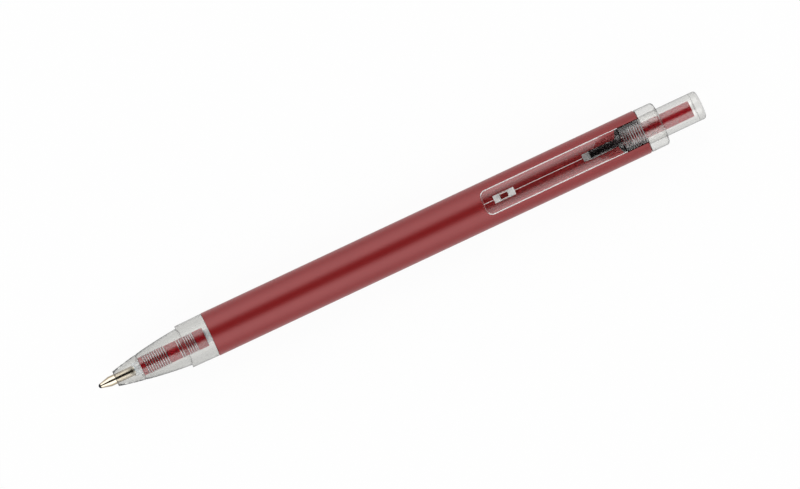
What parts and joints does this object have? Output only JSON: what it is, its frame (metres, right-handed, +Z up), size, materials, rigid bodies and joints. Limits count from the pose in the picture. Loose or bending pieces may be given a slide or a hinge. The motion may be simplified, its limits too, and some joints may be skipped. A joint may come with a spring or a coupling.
{
  "type": "retractable ball pen",
  "caption": "Slim retractable ball pen: red tube, clear nose cone with the spring in view, clear pocket clip, clear end collar and clear push button.",
  "frame": {"origin": "under the middle of the pen's length, on the surface that the barrel lies on", "axes": "+X along the pen towards the push button, +Z up with the pocket clip on top, +Y across the pen"},
  "size_m": [0.1434, 0.01, 0.0123],
  "materials": {
    "clear_plastic": "clear, polished",
    "red_lacquer": "satin red lacquer on a thin moulded tube",
    "red_plastic": "smooth moulded",
    "dark_plastic": "moulded",
    "white_plastic": "milky, translucent",
    "nickel_silver": "turned and polished",
    "black_carbide": "polished",
    "ink": "liquid",
    "grease": "clear grease",
    "spring_steel": "drawn wire"
  },
  "bodies": {
    "root": {"nose_cone": "clear_plastic", "barrel": "red_lacquer", "end_collar": "clear_plastic", "cam_guide": "dark_plastic", "return_spring": "spring_steel"},
    "button": {"push_button": "clear_plastic"},
    "refill": {"refill_tube": "white_plastic", "point_socket": "nickel_silver", "ink_column": "ink", "ink_follower": "grease", "spring_sleeve": "red_plastic"},
    "rotor": {"cam_rotor": "red_plastic"},
    "ball": {"writing_ball": "black_carbide"},
    "clip": {"clip_arm": "clear_plastic"}
  },
  "joints": [
    {"name": "button_push", "type": "slide", "parent": "root", "child": "button", "axis": [1, 0, 0], "range_m": [-0.0012, 0.005], "stiffness_N_per_m": 100},
    {"name": "refill_slide", "type": "slide", "parent": "root", "child": "refill", "axis": [1, 0, 0], "range_m": [-0.0012, 0.005], "deforming": ["return_spring"]},
    {"name": "rotor_turn", "type": "hinge", "parent": "refill", "child": "rotor", "pos_m": [0.038, 0, 0.00499], "axis": [1, 0, 0], "range_deg": [-14.5, 60.1]},
    {"name": "ball_roll", "type": "hinge", "parent": "refill", "child": "ball", "pos_m": [-0.07124, 0, 0.00499], "axis": [0, 1, 0], "continuous": true},
    {"name": "clip_flex", "type": "hinge", "parent": "root", "child": "clip", "pos_m": [0.05264, 0, 0.00959], "axis": [0, 1, 0], "range_deg": [0, 4], "stiffness_Nm_per_rad": 2.5, "springref_deg": -0.57}
  ],
  "couplings": [
    {"joint": "refill_slide", "follows": "button_push", "ratio": 1},
    {"joint": "rotor_turn", "follows": "button_push", "rad_per_m": 209.44}
  ]
}
